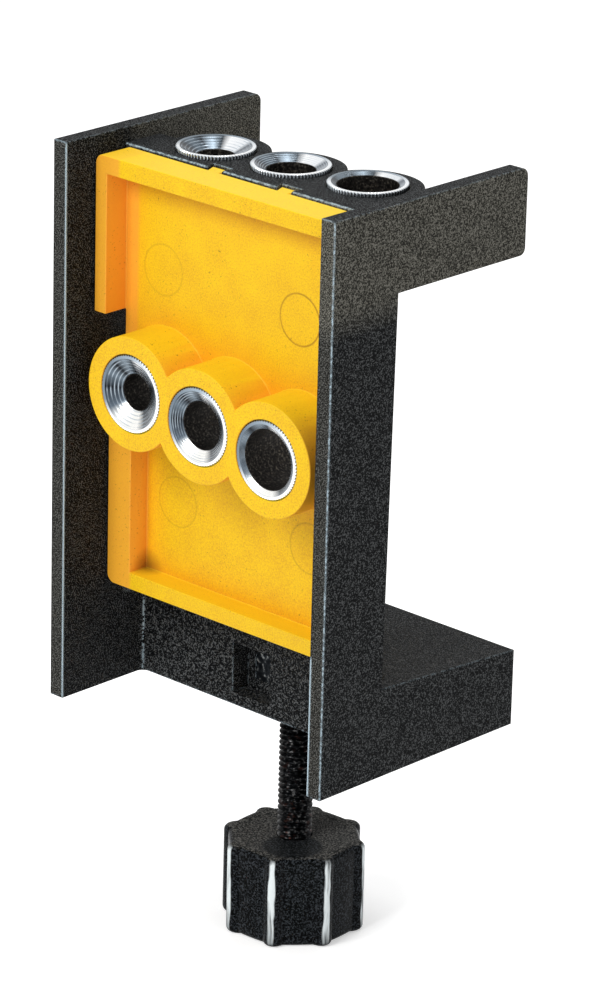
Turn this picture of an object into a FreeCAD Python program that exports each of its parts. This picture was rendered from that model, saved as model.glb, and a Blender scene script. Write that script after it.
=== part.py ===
import FreeCAD, Part
import os
import re
import Sketcher

# Self centring doweling jig.
#
# A C shaped frame takes a board in its throat. A yellow carriage with three
# drill bushings slides up and down in front of the throat. Turning the knob
# lifts a pad under the board and lifts the carriage at half the pad's speed,
# so the bushings stay half way between the pad and the frame's upper arms.
#
# Each piece is drawn in the frame's own coordinates: X = 0 is the middle of
# the frame, Y = 0 is the front edges of the side plates and Z = 0 is the
# bottom of the frame. Round pieces are drawn about their own axis. The
# placements then put the knob's underside on the ground.

# Sizes, all in millimetres. Each line is alias, value, meaning.
SIZES = [
    ("outer_width", 62.6, "outside of one side plate to outside of the other"),
    ("plate_wall", 2.9, "side plate"),
    ("frame_height", 97.6, "bottom to top of the side plates"),
    ("strip_depth_top", 15.2, "front strip of a side plate, under the arms"),
    ("strip_depth_low", 14.2, "front strip of a side plate, at the jaw"),
    ("arm_depth", 45.6, "upper arms, front to back"),
    ("arm_under", 82.8, "underside of the arms, where the board bears"),
    ("jaw_depth", 47.0, "lower jaw, front to back"),
    ("table_front", 15.6, "jaw table at the strip"),
    ("table_back", 13.4, "jaw table at its back edge"),
    ("table_wall", 3.0, "least thickness of the jaw table"),
    ("jaw_wall", 3.0, "front and back walls of the jaw"),
    ("wall_front", 19.2, "front face of the jaw's front wall"),
    ("tower_half", 9.5, "half width of the nut housing under the table"),
    ("tower_back", 37.0, "back of the nut housing"),
    ("arm_round_top", 1.6, "back top corner of an arm"),
    ("arm_round_low", 1.2, "back lower corner of an arm"),
    ("wall_fillet", 1.5, "upright inside corner beside the front wall"),
    ("window_left", 7.0, "window in the front wall, left of the middle"),
    ("window_right", 1.6, "window in the front wall, right of the middle"),
    ("window_low", 2.2, "bottom of the window"),
    ("window_top", 11.2, "top of the window"),
    ("axis_depth", 27.95, "spindle axis behind the front edges"),
    ("nut_floor", 4.0, "floor under the nut"),
    ("nut_width", 10.0, "square nut across its flats"),
    ("nut_thick", 5.0, "square nut"),
    ("nut_bore", 6.15, "nut bore over the spindle's thread"),
    ("nut_play", 0.15, "room round the nut in its pocket, each side"),
    ("floor_hole", 6.8, "hole for the spindle in the jaw's floor"),
    ("block_front", 13.3, "front face of the bushing block"),
    ("block_web_back", 21.5, "back of the block between its bosses"),
    ("block_top", 95.1, "top of the bushing block"),
    ("block_boss", 18.4, "bosses round the block's bushings"),
    ("block_edge", 0.5, "rounding along the block's front top edge"),
    ("bushing_pitch", 15.46, "bushings, centre to centre across the jig"),
    ("block_set_small", 21.55, "6 mm bushing of the block, behind the front"),
    ("block_set_middle", 23.14, "8 mm bushing of the block, behind the front"),
    ("block_set_large", 24.73, "10 mm bushing of the block, behind the front"),
    ("block_bushing_top", 95.8, "rims of the block's bushings"),
    ("bushing_outer", 13.4, "outside of every bushing"),
    ("bushing_seat", 13.5, "bores that hold the bushings"),
    ("mouth_wide", 12.0, "wide end of a bushing's countersunk mouth"),
    ("mouth_deep", 1.6, "depth of a bushing's countersunk mouth"),
    ("drill_small", 6.1, "bore of the 6 mm bushings"),
    ("drill_middle", 8.1, "bore of the 8 mm bushings"),
    ("drill_large", 10.1, "bore of the 10 mm bushings"),
    ("side_gap", 0.4, "carriage to side plate, each side"),
    ("shell_top", 94.7, "top of the carriage"),
    ("shell_low", 18.8, "bottom of the carriage"),
    ("step_height", 60.9, "height where the carriage steps back"),
    ("upper_front", 6.3, "front of the carriage's upper rim"),
    ("upper_panel", 11.0, "front of the carriage's upper panel"),
    ("upper_back", 13.0, "back of the carriage's upper panel"),
    ("upper_side_rim", 2.6, "side rims of the upper half"),
    ("top_rim", 3.1, "top rim"),
    ("lower_front", 9.9, "front of the carriage's lower rim"),
    ("lower_panel", 14.0, "front of the carriage's lower panel"),
    ("lower_back", 15.2, "back of the carriage's lower panel"),
    ("lower_side_rim", 5.3, "side rims of the lower half"),
    ("bottom_rim", 2.9, "bottom rim"),
    ("ledge_wall", 1.2, "ledge that joins the two panels"),
    ("notch_tall", 6.7, "notches in the sides, above the step"),
    ("shell_round", 1.6, "outer corners of the carriage"),
    ("rim_end_round", 2.4, "top ends of the lower side rims"),
    ("boss_front", 2.35, "front faces of the carriage's bosses"),
    ("boss_outer", 19.5, "bosses of the carriage"),
    ("row_height", 55.39, "8 mm bushing of the carriage"),
    ("row_step", 1.67, "each bushing of the carriage sits this much lower"),
    ("rib_place", 7.73, "guide ribs either side of the middle"),
    ("rib_neck", 2.4, "guide rib at the carriage"),
    ("rib_head", 4.0, "guide rib at its back"),
    ("rib_back", 15.0, "back of the guide ribs"),
    ("rib_low", 62.0, "bottom of the guide ribs"),
    ("rib_play", 0.3, "room round the guide ribs in the block"),
    ("foot_half", 8.0, "half width of the carriage's foot"),
    ("foot_thick", 4.0, "carriage's foot"),
    ("foot_bore", 5.8, "foot bore over the spindle's neck"),
    ("recess_wide", 12.0, "recess in the foot for washer and ring"),
    ("recess_deep", 2.0, "depth of that recess"),
    ("thread_outer", 6.0, "spindle over its thread"),
    ("neck_outer", 5.6, "spindle's neck in the foot"),
    ("ring_groove", 4.8, "groove in the neck"),
    ("spindle_bore", 3.3, "bore in the spindle for the pad's screw"),
    ("bore_long", 30.0, "depth of that bore from the spindle's top"),
    ("collar_outer", 10.0, "spindle's collar"),
    ("collar_thick", 1.2, "spindle's collar"),
    ("washer_outer", 11.0, "thrust washers"),
    ("low_washer", 1.0, "washer under the foot"),
    ("top_washer", 0.8, "washer in the foot's recess"),
    ("ring_outer", 9.0, "retaining ring"),
    ("ring_thick", 0.7, "retaining ring"),
    ("ring_mouth", 4.0, "opening of the retaining ring"),
    ("knob_drop", 40.5, "knob's underside below the frame's bottom"),
    ("knob_tall", 16.2, "knob"),
    ("knob_outer", 25.2, "knob over its ridges"),
    ("knob_core", 22.5, "knob across its flat flutes"),
    ("ridge_wide", 2.6, "each ridge of the knob"),
    ("knob_edge", 0.9, "bevel round both ends of the knob"),
    ("knob_cap_wide", 16.0, "cap in the knob's underside"),
    ("knob_cap_thick", 1.6, "cap in the knob's underside"),
    ("head_flats", 10.0, "spindle's hexagon head"),
    ("head_tall", 4.0, "spindle's hexagon head"),
    ("head_play", 0.1, "room round the head in the knob"),
    ("pad_low", 23.3, "underside of the pad when fully down"),
    ("pad_thick", 3.5, "pad"),
    ("pad_half", 10.0, "half width of the pad"),
    ("pad_front", 15.5, "front of the pad, beside the carriage"),
    ("pad_back", 36.0, "back of the pad"),
    ("pad_round", 3.0, "corners of the pad"),
    ("facing_thick", 1.2, "soft facing on the pad"),
    ("facing_inset", 0.8, "facing inside the pad's edge"),
    ("stem_outer", 3.0, "pad's screw"),
    ("stem_long", 26.5, "pad's screw below the pad"),
    ("rivet_head", 6.0, "head of the pad's screw"),
    ("rivet_tall", 1.5, "head of the pad's screw"),
]
ALIASES = [name for name, number, meaning in SIZES]

# Turn of the knob in the rest position, from a ridge on the X axis.
KNOB_TURN = 25.9
KNOB_RIDGES = 8

doc = FreeCAD.newDocument("doweling_jig")
sheet = doc.addObject("Spreadsheet::Sheet", "Sizes")
for row, (name, number, meaning) in enumerate(SIZES, start=1):
    sheet.set("A%d" % row, meaning)
    sheet.set("B%d" % row, str(number))
    sheet.setAlias("B%d" % row, name)
doc.recompute()


def sized(text):
    """Turn a formula in plain size names into one that reads the sheet."""
    def full(word):
        name = word.group()
        return "Sizes." + name if name in ALIASES else name
    return re.sub(r"[a-z][a-z_]+", full, text)


def bind(feature, field, text):
    """Drive one field of a feature by a formula of sizes."""
    feature.setExpression(field, sized(text))


def number(feature, text):
    """Work out a formula of sizes, as a plain number."""
    return float(feature.evalExpression(sized(text)))


def new_body(label, x="0", y="-jaw_depth / 2", z="knob_drop"):
    """Start a piece and put it in its place in the jig."""
    body = doc.addObject("PartDesign::Body", label)
    body.Label = label
    for axis, text in (("x", x), ("y", y), ("z", z)):
        bind(body, "Placement.Base." + axis, text)
    return body


def new_sketch(body, name, plane, height="0"):
    """Put a sketch on one of the body's planes, or at a height above it."""
    origin = [item for item in body.Origin.OriginFeatures if item.Role == plane]
    sketch = body.newObject("Sketcher::SketchObject", name)
    sketch.AttachmentSupport = [(origin[0], "")]
    sketch.MapMode = "FlatFace"
    # The XZ plane faces the front, so a depth behind it counts backwards.
    text = "-(" + height + ")" if plane == "XZ_Plane" else height
    bind(sketch, "AttachmentOffset.Base.z", text)
    doc.recompute()
    return sketch


def hold(sketch, part, spot, along, text):
    """Hold one point of a sketch at a formula's distance from an axis."""
    place = number(sketch, text)
    kind, axis = ("DistanceX", -2) if along == "x" else ("DistanceY", -1)
    if abs(place) < 1e-9:
        sketch.addConstraint(Sketcher.Constraint("PointOnObject", part, spot, axis))
        return
    held = sketch.addConstraint(Sketcher.Constraint(kind, -1, 1, part, spot, place))
    bind(sketch, "Constraints[%d]" % held, text)


def outline(sketch, corners):
    """Draw a closed outline through corners, each a pair of formulas."""
    spots = [FreeCAD.Vector(number(sketch, a), number(sketch, b), 0) for a, b in corners]
    first = sketch.GeometryCount
    count = len(spots)
    for i in range(count):
        line = Part.LineSegment(spots[i], spots[(i + 1) % count])
        sketch.addGeometry(line, False)
    for i in range(count):
        after = first + (i + 1) % count
        sketch.addConstraint(Sketcher.Constraint("Coincident", first + i, 2, after, 1))
    for i, (across, up) in enumerate(corners):
        hold(sketch, first + i, 1, "x", across)
        hold(sketch, first + i, 1, "y", up)


def rectangle(sketch, left, right, low, high):
    """Draw a rectangle between four formulas."""
    outline(sketch, [(left, low), (right, low), (right, high), (left, high)])


def circle(sketch, across, up, wide):
    """Draw a circle of a given diameter about a point."""
    middle = FreeCAD.Vector(number(sketch, across), number(sketch, up), 0)
    ring = Part.Circle(middle, FreeCAD.Vector(0, 0, 1), number(sketch, wide) / 2)
    drawn = sketch.addGeometry(ring, False)
    hold(sketch, drawn, 3, "x", across)
    hold(sketch, drawn, 3, "y", up)
    size = sketch.addConstraint(Sketcher.Constraint("Diameter", drawn, ring.Radius * 2))
    bind(sketch, "Constraints[%d]" % size, wide)


def pad(body, sketch, length, backwards=False, both_ways=False):
    """Add material along the sketch's normal."""
    feature = body.newObject("PartDesign::Pad", sketch.Name + "_pad")
    feature.Profile = sketch
    bind(feature, "Length", length)
    feature.Reversed = backwards
    feature.Midplane = both_ways
    sketch.Visibility = False
    doc.recompute()
    return feature


def pocket(body, sketch, length, backwards=False):
    """Take material away, against the sketch's normal."""
    feature = body.newObject("PartDesign::Pocket", sketch.Name + "_cut")
    feature.Profile = sketch
    bind(feature, "Length", length)
    feature.Reversed = backwards
    sketch.Visibility = False
    doc.recompute()
    return feature


def turned(body, sketch):
    """Turn a half section on the XZ plane about the Z axis."""
    feature = body.newObject("PartDesign::Revolution", sketch.Name + "_turned")
    feature.Profile = sketch
    feature.ReferenceAxis = (sketch, ["V_Axis"])
    feature.Angle = 360
    sketch.Visibility = False
    doc.recompute()
    return feature


def dress_edges(body, name, kind, size, chosen):
    """Give the straight edges that a test picks out a Fillet or a Chamfer."""
    before = body.Tip
    names = []
    for place, edge in enumerate(before.Shape.Edges, start=1):
        if len(edge.Vertexes) == 2 and chosen(edge.Vertexes[0].Point, edge.Vertexes[1].Point):
            names.append("Edge%d" % place)
    feature = body.newObject("PartDesign::" + kind, name)
    feature.Base = (before, names)
    bind(feature, "Radius" if kind == "Fillet" else "Size", size)
    doc.recompute()
    return feature


def near(one, other):
    """Tell whether two lengths are the same."""
    return abs(one - other) < 0.01


# Places of the three bushings: name, step across, drill bore, and the depth
# of the block's bushing behind the front edges.
ROW = [
    ("6", "-1", "drill_small", "block_set_small"),
    ("8", "0", "drill_middle", "block_set_middle"),
    ("10", "1", "drill_large", "block_set_large"),
]


def make_frame():
    """The C shaped frame: two side plates joined by the lower jaw."""
    body = new_body("frame")
    side = new_sketch(body, "frame_side", "YZ_Plane")
    outline(side, [
        ("0", "0"),
        ("jaw_depth", "0"),
        ("jaw_depth", "table_back"),
        ("strip_depth_low", "table_front"),
        ("strip_depth_top", "arm_under"),
        ("arm_depth", "arm_under"),
        ("arm_depth", "frame_height"),
        ("0", "frame_height"),
    ])
    pad(body, side, "outer_width", both_ways=True)

    inner = "outer_width / 2 - plate_wall"
    slot = new_sketch(body, "carriage_way", "XZ_Plane")
    rectangle(slot, "-(%s)" % inner, inner, "0", "frame_height")
    pocket(body, slot, "wall_front")

    between = new_sketch(body, "between_arms", "XZ_Plane")
    rectangle(between, "-(%s)" % inner, inner, "arm_under - plate_wall", "frame_height")
    pocket(body, between, "jaw_depth")

    make_jaw_hollow(body, inner)
    cut_nut_place(body)

    half = number(body, inner)
    front = number(body, "wall_front")
    back = number(body, "arm_depth")
    dress_edges(body, "wall_corner", "Fillet", "wall_fillet", lambda a, b: (
        near(abs(a.x), half) and near(a.x, b.x)
        and near(a.y, front) and near(b.y, front)))
    for name, radius, level in (
            ("arm_top_round", "arm_round_top", "frame_height"),
            ("arm_low_round", "arm_round_low", "arm_under")):
        height = number(body, level)
        dress_edges(body, name, "Fillet", radius, lambda a, b: (
            near(a.y, back) and near(b.y, back)
            and near(a.z, height) and near(b.z, height)))
    return body


def make_jaw_hollow(body, inner):
    """Hollow the jaw from below, round three sides of the nut housing."""
    hollow = new_sketch(body, "jaw_hollow", "XY_Plane")
    inside = "wall_front + jaw_wall"
    rear = "jaw_depth - jaw_wall"
    outline(hollow, [
        ("-(%s)" % inner, inside),
        ("-tower_half", inside),
        ("-tower_half", "tower_back"),
        ("tower_half", "tower_back"),
        ("tower_half", inside),
        (inner, inside),
        (inner, rear),
        ("-(%s)" % inner, rear),
    ])
    pocket(body, hollow, "table_back - table_wall", backwards=True)


def cut_nut_place(body):
    """Cut the nut's pocket, the spindle's hole and the window."""
    seat = new_sketch(body, "nut_seat", "XY_Plane", "nut_floor")
    reach = "(nut_width / 2 + nut_play)"
    rectangle(seat, "-" + reach, reach, "axis_depth - " + reach, "axis_depth + " + reach)
    pocket(body, seat, "table_front", backwards=True)

    hole = new_sketch(body, "spindle_hole", "XY_Plane")
    circle(hole, "0", "axis_depth", "floor_hole")
    pocket(body, hole, "nut_floor", backwards=True)

    window = new_sketch(body, "nut_window", "XZ_Plane", "wall_front")
    rectangle(window, "-window_left", "window_right", "window_low", "window_top")
    pocket(body, window, "axis_depth - nut_width / 2 - wall_front")


def make_block():
    """The bushing block between the arms, with grooves for the ribs."""
    body = new_body("bushing_block")
    web = new_sketch(body, "block_web", "XY_Plane", "arm_under")
    inner = "outer_width / 2 - plate_wall"
    rectangle(web, "-(%s)" % inner, inner, "block_front", "block_web_back")
    pad(body, web, "block_top - arm_under")
    for name, step, bore, depth in ROW:
        boss = new_sketch(body, "block_boss_" + name, "XY_Plane", "arm_under")
        circle(boss, step + " * bushing_pitch", depth, "block_boss")
        pad(body, boss, "block_top - arm_under")
    # The front face is one plane, so the bosses are trimmed level with it.
    face = new_sketch(body, "block_face", "XZ_Plane")
    across = "(bushing_pitch + block_boss / 2)"
    rectangle(face, "-" + across, across, "arm_under", "block_top")
    pocket(body, face, "block_front")
    for name, step, bore, depth in ROW:
        seat = new_sketch(body, "block_seat_" + name, "XY_Plane", "arm_under")
        circle(seat, step + " * bushing_pitch", depth, "bushing_seat")
        pocket(body, seat, "block_top - arm_under", backwards=True)
    for name, side in (("left", "-1"), ("right", "1")):
        groove = new_sketch(body, "block_groove_" + name, "XY_Plane", "arm_under")
        middle = side + " * rib_place"
        neck = "(rib_neck / 2 + rib_play)"
        head = "(rib_head / 2 + rib_play)"
        deep = "rib_back + rib_play"
        outline(groove, [
            (middle + " - " + neck, "block_front"),
            (middle + " + " + neck, "block_front"),
            (middle + " + " + head, deep),
            (middle + " - " + head, deep),
        ])
        pocket(body, groove, "block_top", backwards=True)
    front = number(body, "block_front")
    top = number(body, "block_top")
    dress_edges(body, "block_front_round", "Fillet", "block_edge", lambda a, b: (
        near(a.y, front) and near(b.y, front) and near(a.z, top) and near(b.z, top)))
    return body


def make_bushing(label, bore, length, x, y, z):
    """A hardened bushing, drawn with its mouth at the top."""
    body = new_body(label, x, y, z)
    half = new_sketch(body, label + "_section", "XZ_Plane")
    wall = bore + " / 2"
    outline(half, [
        (wall, "-(%s)" % length),
        ("bushing_outer / 2", "-(%s)" % length),
        ("bushing_outer / 2", "0"),
        ("mouth_wide / 2", "0"),
        (wall, "-mouth_deep * (mouth_wide - %s) / mouth_wide * 2" % bore),
    ])
    turned(body, half)
    return body


def make_block_bushing(name, step, bore, depth):
    """A bushing of the block, upright and as deep as the arms' underside."""
    return make_bushing(
        "top_bushing_" + name, bore, "block_bushing_top - arm_under",
        step + " * bushing_pitch", depth + " - jaw_depth / 2",
        "block_bushing_top + knob_drop")


def make_front_bushing(name, step, bore):
    """A bushing of the carriage, lying with its mouth to the front."""
    body = make_bushing(
        "front_bushing_" + name, bore, "upper_back - boss_front",
        step + " * bushing_pitch", "boss_front - jaw_depth / 2",
        "row_height - (%s) * row_step + knob_drop" % step)
    body.Placement.Rotation = FreeCAD.Rotation(FreeCAD.Vector(1, 0, 0), 90)
    return body


def make_carriage():
    """The yellow carriage: a stepped shell with three bosses and a foot."""
    body = new_body("carriage")
    half = "(outer_width / 2 - plate_wall - side_gap)"
    upper = new_sketch(body, "upper_shell", "XZ_Plane", "upper_front")
    rectangle(upper, "-" + half, half, "step_height", "shell_top")
    pad(body, upper, "upper_back - upper_front", backwards=True)
    lower = new_sketch(body, "lower_shell", "XZ_Plane", "lower_front")
    rectangle(lower, "-" + half, half, "shell_low", "step_height")
    pad(body, lower, "lower_back - lower_front", backwards=True)
    hollow_shell(body, half)
    round_shell(body, half)
    add_bosses(body)
    add_ribs(body)
    add_foot(body)
    return body


def hollow_shell(body, half):
    """Sink both panels behind their rims and cut the side notches."""
    wide = half + " - upper_side_rim"
    narrow = half + " - lower_side_rim"
    ledge = "step_height - ledge_wall"
    upper = new_sketch(body, "upper_hollow", "XZ_Plane", "upper_front")
    outline(upper, [
        ("-(%s)" % narrow, ledge),
        (narrow, ledge),
        (narrow, "step_height"),
        (wide, "step_height"),
        (wide, "shell_top - top_rim"),
        ("-(%s)" % wide, "shell_top - top_rim"),
        ("-(%s)" % wide, "step_height"),
        ("-(%s)" % narrow, "step_height"),
    ])
    pocket(body, upper, "upper_panel - upper_front")
    lower = new_sketch(body, "lower_hollow", "XZ_Plane", "lower_front")
    rectangle(lower, "-(%s)" % narrow, narrow, "shell_low + bottom_rim", ledge)
    pocket(body, lower, "lower_panel - lower_front")
    for name, side in (("left", "-"), ("right", "")):
        notch = new_sketch(body, "notch_" + name, "XZ_Plane", "upper_front")
        rectangle(
            notch, side + "(%s)" % wide, side + half,
            "step_height", "step_height + notch_tall")
        pocket(body, notch, "upper_back - upper_front")


def round_shell(body, half):
    """Round the outer corners and the top ends of the lower rims."""
    side = number(body, half)
    corners = [number(body, "shell_top"), number(body, "shell_low")]
    step = number(body, "step_height")
    dress_edges(body, "shell_corners", "Fillet", "shell_round", lambda a, b: (
        near(abs(a.x), side) and near(a.x, b.x) and near(a.z, b.z)
        and any(near(a.z, level) for level in corners)))
    dress_edges(body, "rim_ends", "Fillet", "rim_end_round", lambda a, b: (
        near(abs(a.x), side) and near(a.x, b.x)
        and near(a.z, step) and near(b.z, step)))


def add_bosses(body):
    """Add the diagonal row of bosses and bore each for its bushing."""
    for name, step, bore, depth in ROW:
        boss = new_sketch(body, "boss_" + name, "XZ_Plane", "boss_front")
        height = "row_height - (%s) * row_step" % step
        circle(boss, step + " * bushing_pitch", height, "boss_outer")
        pad(body, boss, "lower_back - boss_front", backwards=True)
    # The upper half has to pass under the block, so the bosses end early there.
    trim = new_sketch(body, "boss_trim", "XZ_Plane", "upper_back")
    across = "(bushing_pitch + boss_outer / 2)"
    rectangle(trim, "-" + across, across, "step_height", "row_height + boss_outer")
    pocket(body, trim, "jaw_depth")
    for name, step, bore, depth in ROW:
        height = "row_height - (%s) * row_step" % step
        seat = new_sketch(body, "seat_" + name, "XZ_Plane", "boss_front")
        circle(seat, step + " * bushing_pitch", height, "bushing_seat")
        pocket(body, seat, "jaw_depth")


def add_ribs(body):
    """Add the two dovetail ribs that run in the block's grooves."""
    for name, side in (("left", "-1"), ("right", "1")):
        rib = new_sketch(body, "rib_" + name, "XY_Plane", "rib_low")
        middle = side + " * rib_place"
        outline(rib, [
            (middle + " - rib_neck / 2", "upper_back"),
            (middle + " + rib_neck / 2", "upper_back"),
            (middle + " + rib_head / 2", "rib_back"),
            (middle + " - rib_head / 2", "rib_back"),
        ])
        pad(body, rib, "shell_top - rib_low")


def add_foot(body):
    """Add the foot that the spindle carries."""
    foot = new_sketch(body, "foot", "XY_Plane", "shell_low")
    rectangle(foot, "-foot_half", "foot_half", "lower_panel", "axis_depth")
    pad(body, foot, "foot_thick")
    end = new_sketch(body, "foot_end", "XY_Plane", "shell_low")
    circle(end, "0", "axis_depth", "2 * foot_half")
    pad(body, end, "foot_thick")
    bore = new_sketch(body, "foot_bore_hole", "XY_Plane", "shell_low")
    circle(bore, "0", "axis_depth", "foot_bore")
    pocket(body, bore, "foot_thick", backwards=True)
    recess = new_sketch(body, "foot_recess", "XY_Plane", "shell_low + foot_thick - recess_deep")
    circle(recess, "0", "axis_depth", "recess_wide")
    pocket(body, recess, "recess_deep", backwards=True)


def make_nut():
    """The square nut, held from turning by its pocket in the jaw."""
    body = new_body("square_nut", "0", "axis_depth - jaw_depth / 2", "nut_floor + knob_drop")
    flat = new_sketch(body, "nut_plan", "XY_Plane")
    reach = "nut_width / 2"
    rectangle(flat, "-" + reach, reach, "-" + reach, reach)
    circle(flat, "0", "0", "nut_bore")
    pad(body, flat, "nut_thick")
    return body


def make_spindle():
    """The hollow spindle, from its hexagon head up to its neck."""
    body = new_body("spindle", "0", "axis_depth - jaw_depth / 2", "0")
    head_low = "knob_cap_thick + head_play"
    collar_top = "knob_drop + shell_low - low_washer"
    collar_low = collar_top + " - collar_thick"
    top = "knob_drop + shell_low + foot_thick"
    groove_low = "%s - recess_deep + top_washer" % top
    half = new_sketch(body, "spindle_section", "XZ_Plane")
    outline(half, [
        ("0", head_low),
        ("thread_outer / 2", head_low),
        ("thread_outer / 2", collar_low),
        ("collar_outer / 2", collar_low),
        ("collar_outer / 2", collar_top),
        ("neck_outer / 2", collar_top),
        ("neck_outer / 2", groove_low),
        ("ring_groove / 2", groove_low),
        ("ring_groove / 2", groove_low + " + ring_thick"),
        ("neck_outer / 2", groove_low + " + ring_thick"),
        ("neck_outer / 2", top),
        ("0", top),
    ])
    turned(body, half)
    head = new_sketch(body, "spindle_head", "XY_Plane", head_low)
    even_outline(head, "head_flats", 6)
    pad(body, head, "head_tall")
    bore = new_sketch(body, "spindle_bore_hole", "XY_Plane", top)
    circle(bore, "0", "0", "spindle_bore")
    pocket(body, bore, "bore_long")
    turn_with_knob(body)
    return body


def even_outline(sketch, flats, sides):
    """Draw an even sided outline from its width across the flats."""
    corners = []
    for i in range(sides):
        angle = "%g deg" % (i * 360 / sides)
        reach = "(%s) / 2 / cos(%g deg)" % (flats, 180 / sides)
        corners.append((reach + " * cos(%s)" % angle, reach + " * sin(%s)" % angle))
    outline(sketch, corners)


def turn_with_knob(body):
    """Turn a piece about its own upright axis to the knob's rest position."""
    body.Placement.Rotation = FreeCAD.Rotation(FreeCAD.Vector(0, 0, 1), KNOB_TURN)


def make_knob():
    """The fluted knob: flat flutes with a narrow ridge between each two."""
    body = new_body("knob", "0", "axis_depth - jaw_depth / 2", "0")
    core = new_sketch(body, "knob_flutes", "XY_Plane")
    even_outline(core, "knob_core", KNOB_RIDGES)
    pad(body, core, "knob_tall")
    dress_edges(body, "knob_ends", "Chamfer", "knob_edge", lambda a, b: near(a.z, b.z))
    ridge = new_sketch(body, "knob_ridge", "YZ_Plane")
    inside = "knob_core / 2 - knob_edge"
    outline(ridge, [
        (inside, "0"),
        ("knob_outer / 2 - knob_edge", "0"),
        ("knob_outer / 2", "knob_edge"),
        ("knob_outer / 2", "knob_tall - knob_edge"),
        ("knob_outer / 2 - knob_edge", "knob_tall"),
        (inside, "knob_tall"),
    ])
    one = pad(body, ridge, "ridge_wide", both_ways=True)
    ring = body.newObject("PartDesign::PolarPattern", "knob_ridges")
    ring.Originals = [one]
    ring.Axis = (ridge, ["V_Axis"])
    ring.Angle = 360
    ring.Occurrences = KNOB_RIDGES
    body.Tip = ring
    doc.recompute()
    bore = new_sketch(body, "knob_bore", "XY_Plane")
    circle(bore, "0", "0", "thread_outer + head_play")
    pocket(body, bore, "knob_tall", backwards=True)
    seat = new_sketch(body, "knob_head_seat", "XY_Plane")
    even_outline(seat, "head_flats + 2 * head_play", 6)
    pocket(body, seat, "knob_cap_thick + head_play + head_tall", backwards=True)
    recess = new_sketch(body, "knob_cap_recess", "XY_Plane")
    circle(recess, "0", "0", "knob_cap_wide + 2 * head_play")
    pocket(body, recess, "knob_cap_thick", backwards=True)
    turn_with_knob(body)
    return body


def make_disc(label, wide, thick, height, hole=None):
    """A flat round piece about the spindle's axis."""
    body = new_body(label, "0", "axis_depth - jaw_depth / 2", height)
    plan = new_sketch(body, label + "_plan", "XY_Plane")
    circle(plan, "0", "0", wide)
    if hole:
        circle(plan, "0", "0", hole)
    pad(body, plan, thick)
    return body


def make_retaining_ring():
    """The retaining ring, an open ring in the neck's groove."""
    foot_top = "knob_drop + shell_low + foot_thick"
    height = foot_top + " - recess_deep + top_washer"
    body = make_disc("retaining_ring", "ring_outer", "ring_thick", height, "ring_groove")
    gap = new_sketch(body, "ring_gap", "XY_Plane")
    rectangle(gap, "-ring_mouth / 2", "ring_mouth / 2", "0", "ring_outer")
    pocket(body, gap, "ring_thick", backwards=True)
    turn_with_knob(body)
    return body


def make_pad():
    """The pad that lifts the board, with room for its screw's head."""
    body = new_body("pressure_pad")
    plan = new_sketch(body, "pad_plan", "XY_Plane", "pad_low")
    rectangle(plan, "-pad_half", "pad_half", "pad_front", "pad_back")
    pad(body, plan, "pad_thick")
    back = number(body, "pad_back")
    dress_edges(body, "pad_corners", "Fillet", "pad_round", lambda a, b: (
        near(a.y, back) and near(b.y, back) and near(a.x, b.x)))
    hole = new_sketch(body, "pad_hole", "XY_Plane", "pad_low")
    circle(hole, "0", "axis_depth", "stem_outer + head_play")
    pocket(body, hole, "pad_thick", backwards=True)
    sink = new_sketch(body, "pad_sink", "XY_Plane", "pad_low + pad_thick - rivet_tall")
    circle(sink, "0", "axis_depth", "rivet_head + head_play")
    pocket(body, sink, "rivet_tall", backwards=True)
    return body


def make_facing():
    """The soft facing on the pad."""
    body = new_body("pad_facing")
    plan = new_sketch(body, "facing_plan", "XY_Plane", "pad_low + pad_thick")
    rectangle(
        plan, "-(pad_half - facing_inset)", "pad_half - facing_inset",
        "pad_front + facing_inset", "pad_back - facing_inset")
    pad(body, plan, "facing_thick")
    back = number(body, "pad_back - facing_inset")
    dress_edges(body, "facing_corners", "Fillet", "pad_round - facing_inset", lambda a, b: (
        near(a.y, back) and near(b.y, back) and near(a.x, b.x)))
    return body


def make_pad_screw():
    """The pad's left hand screw, riveted into the pad."""
    body = new_body("pad_screw", "0", "axis_depth - jaw_depth / 2", "pad_low + knob_drop")
    half = new_sketch(body, "pad_screw_section", "XZ_Plane")
    shoulder = "pad_thick - rivet_tall"
    outline(half, [
        ("0", "-stem_long"),
        ("stem_outer / 2", "-stem_long"),
        ("stem_outer / 2", shoulder),
        ("rivet_head / 2", shoulder),
        ("rivet_head / 2", "pad_thick"),
        ("0", "pad_thick"),
    ])
    turned(body, half)
    return body


def make_all():
    """Make every piece of the jig."""
    pieces = [make_frame(), make_block(), make_nut()]
    for name, step, bore, depth in ROW:
        pieces.append(make_block_bushing(name, step, bore, depth))
    pieces.append(make_carriage())
    for name, step, bore, depth in ROW:
        pieces.append(make_front_bushing(name, step, bore))
    foot_low = "knob_drop + shell_low"
    pieces.append(make_disc(
        "thrust_washer_lower", "washer_outer", "low_washer",
        foot_low + " - low_washer", "foot_bore"))
    pieces.append(make_disc(
        "thrust_washer_upper", "washer_outer", "top_washer",
        foot_low + " + foot_thick - recess_deep", "foot_bore"))
    pieces.append(make_spindle())
    pieces.append(make_retaining_ring())
    pieces.append(make_knob())
    pieces.append(make_disc("knob_cap", "knob_cap_wide", "knob_cap_thick", "0"))
    pieces.append(make_pad())
    pieces.append(make_facing())
    pieces.append(make_pad_screw())
    return pieces


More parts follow.
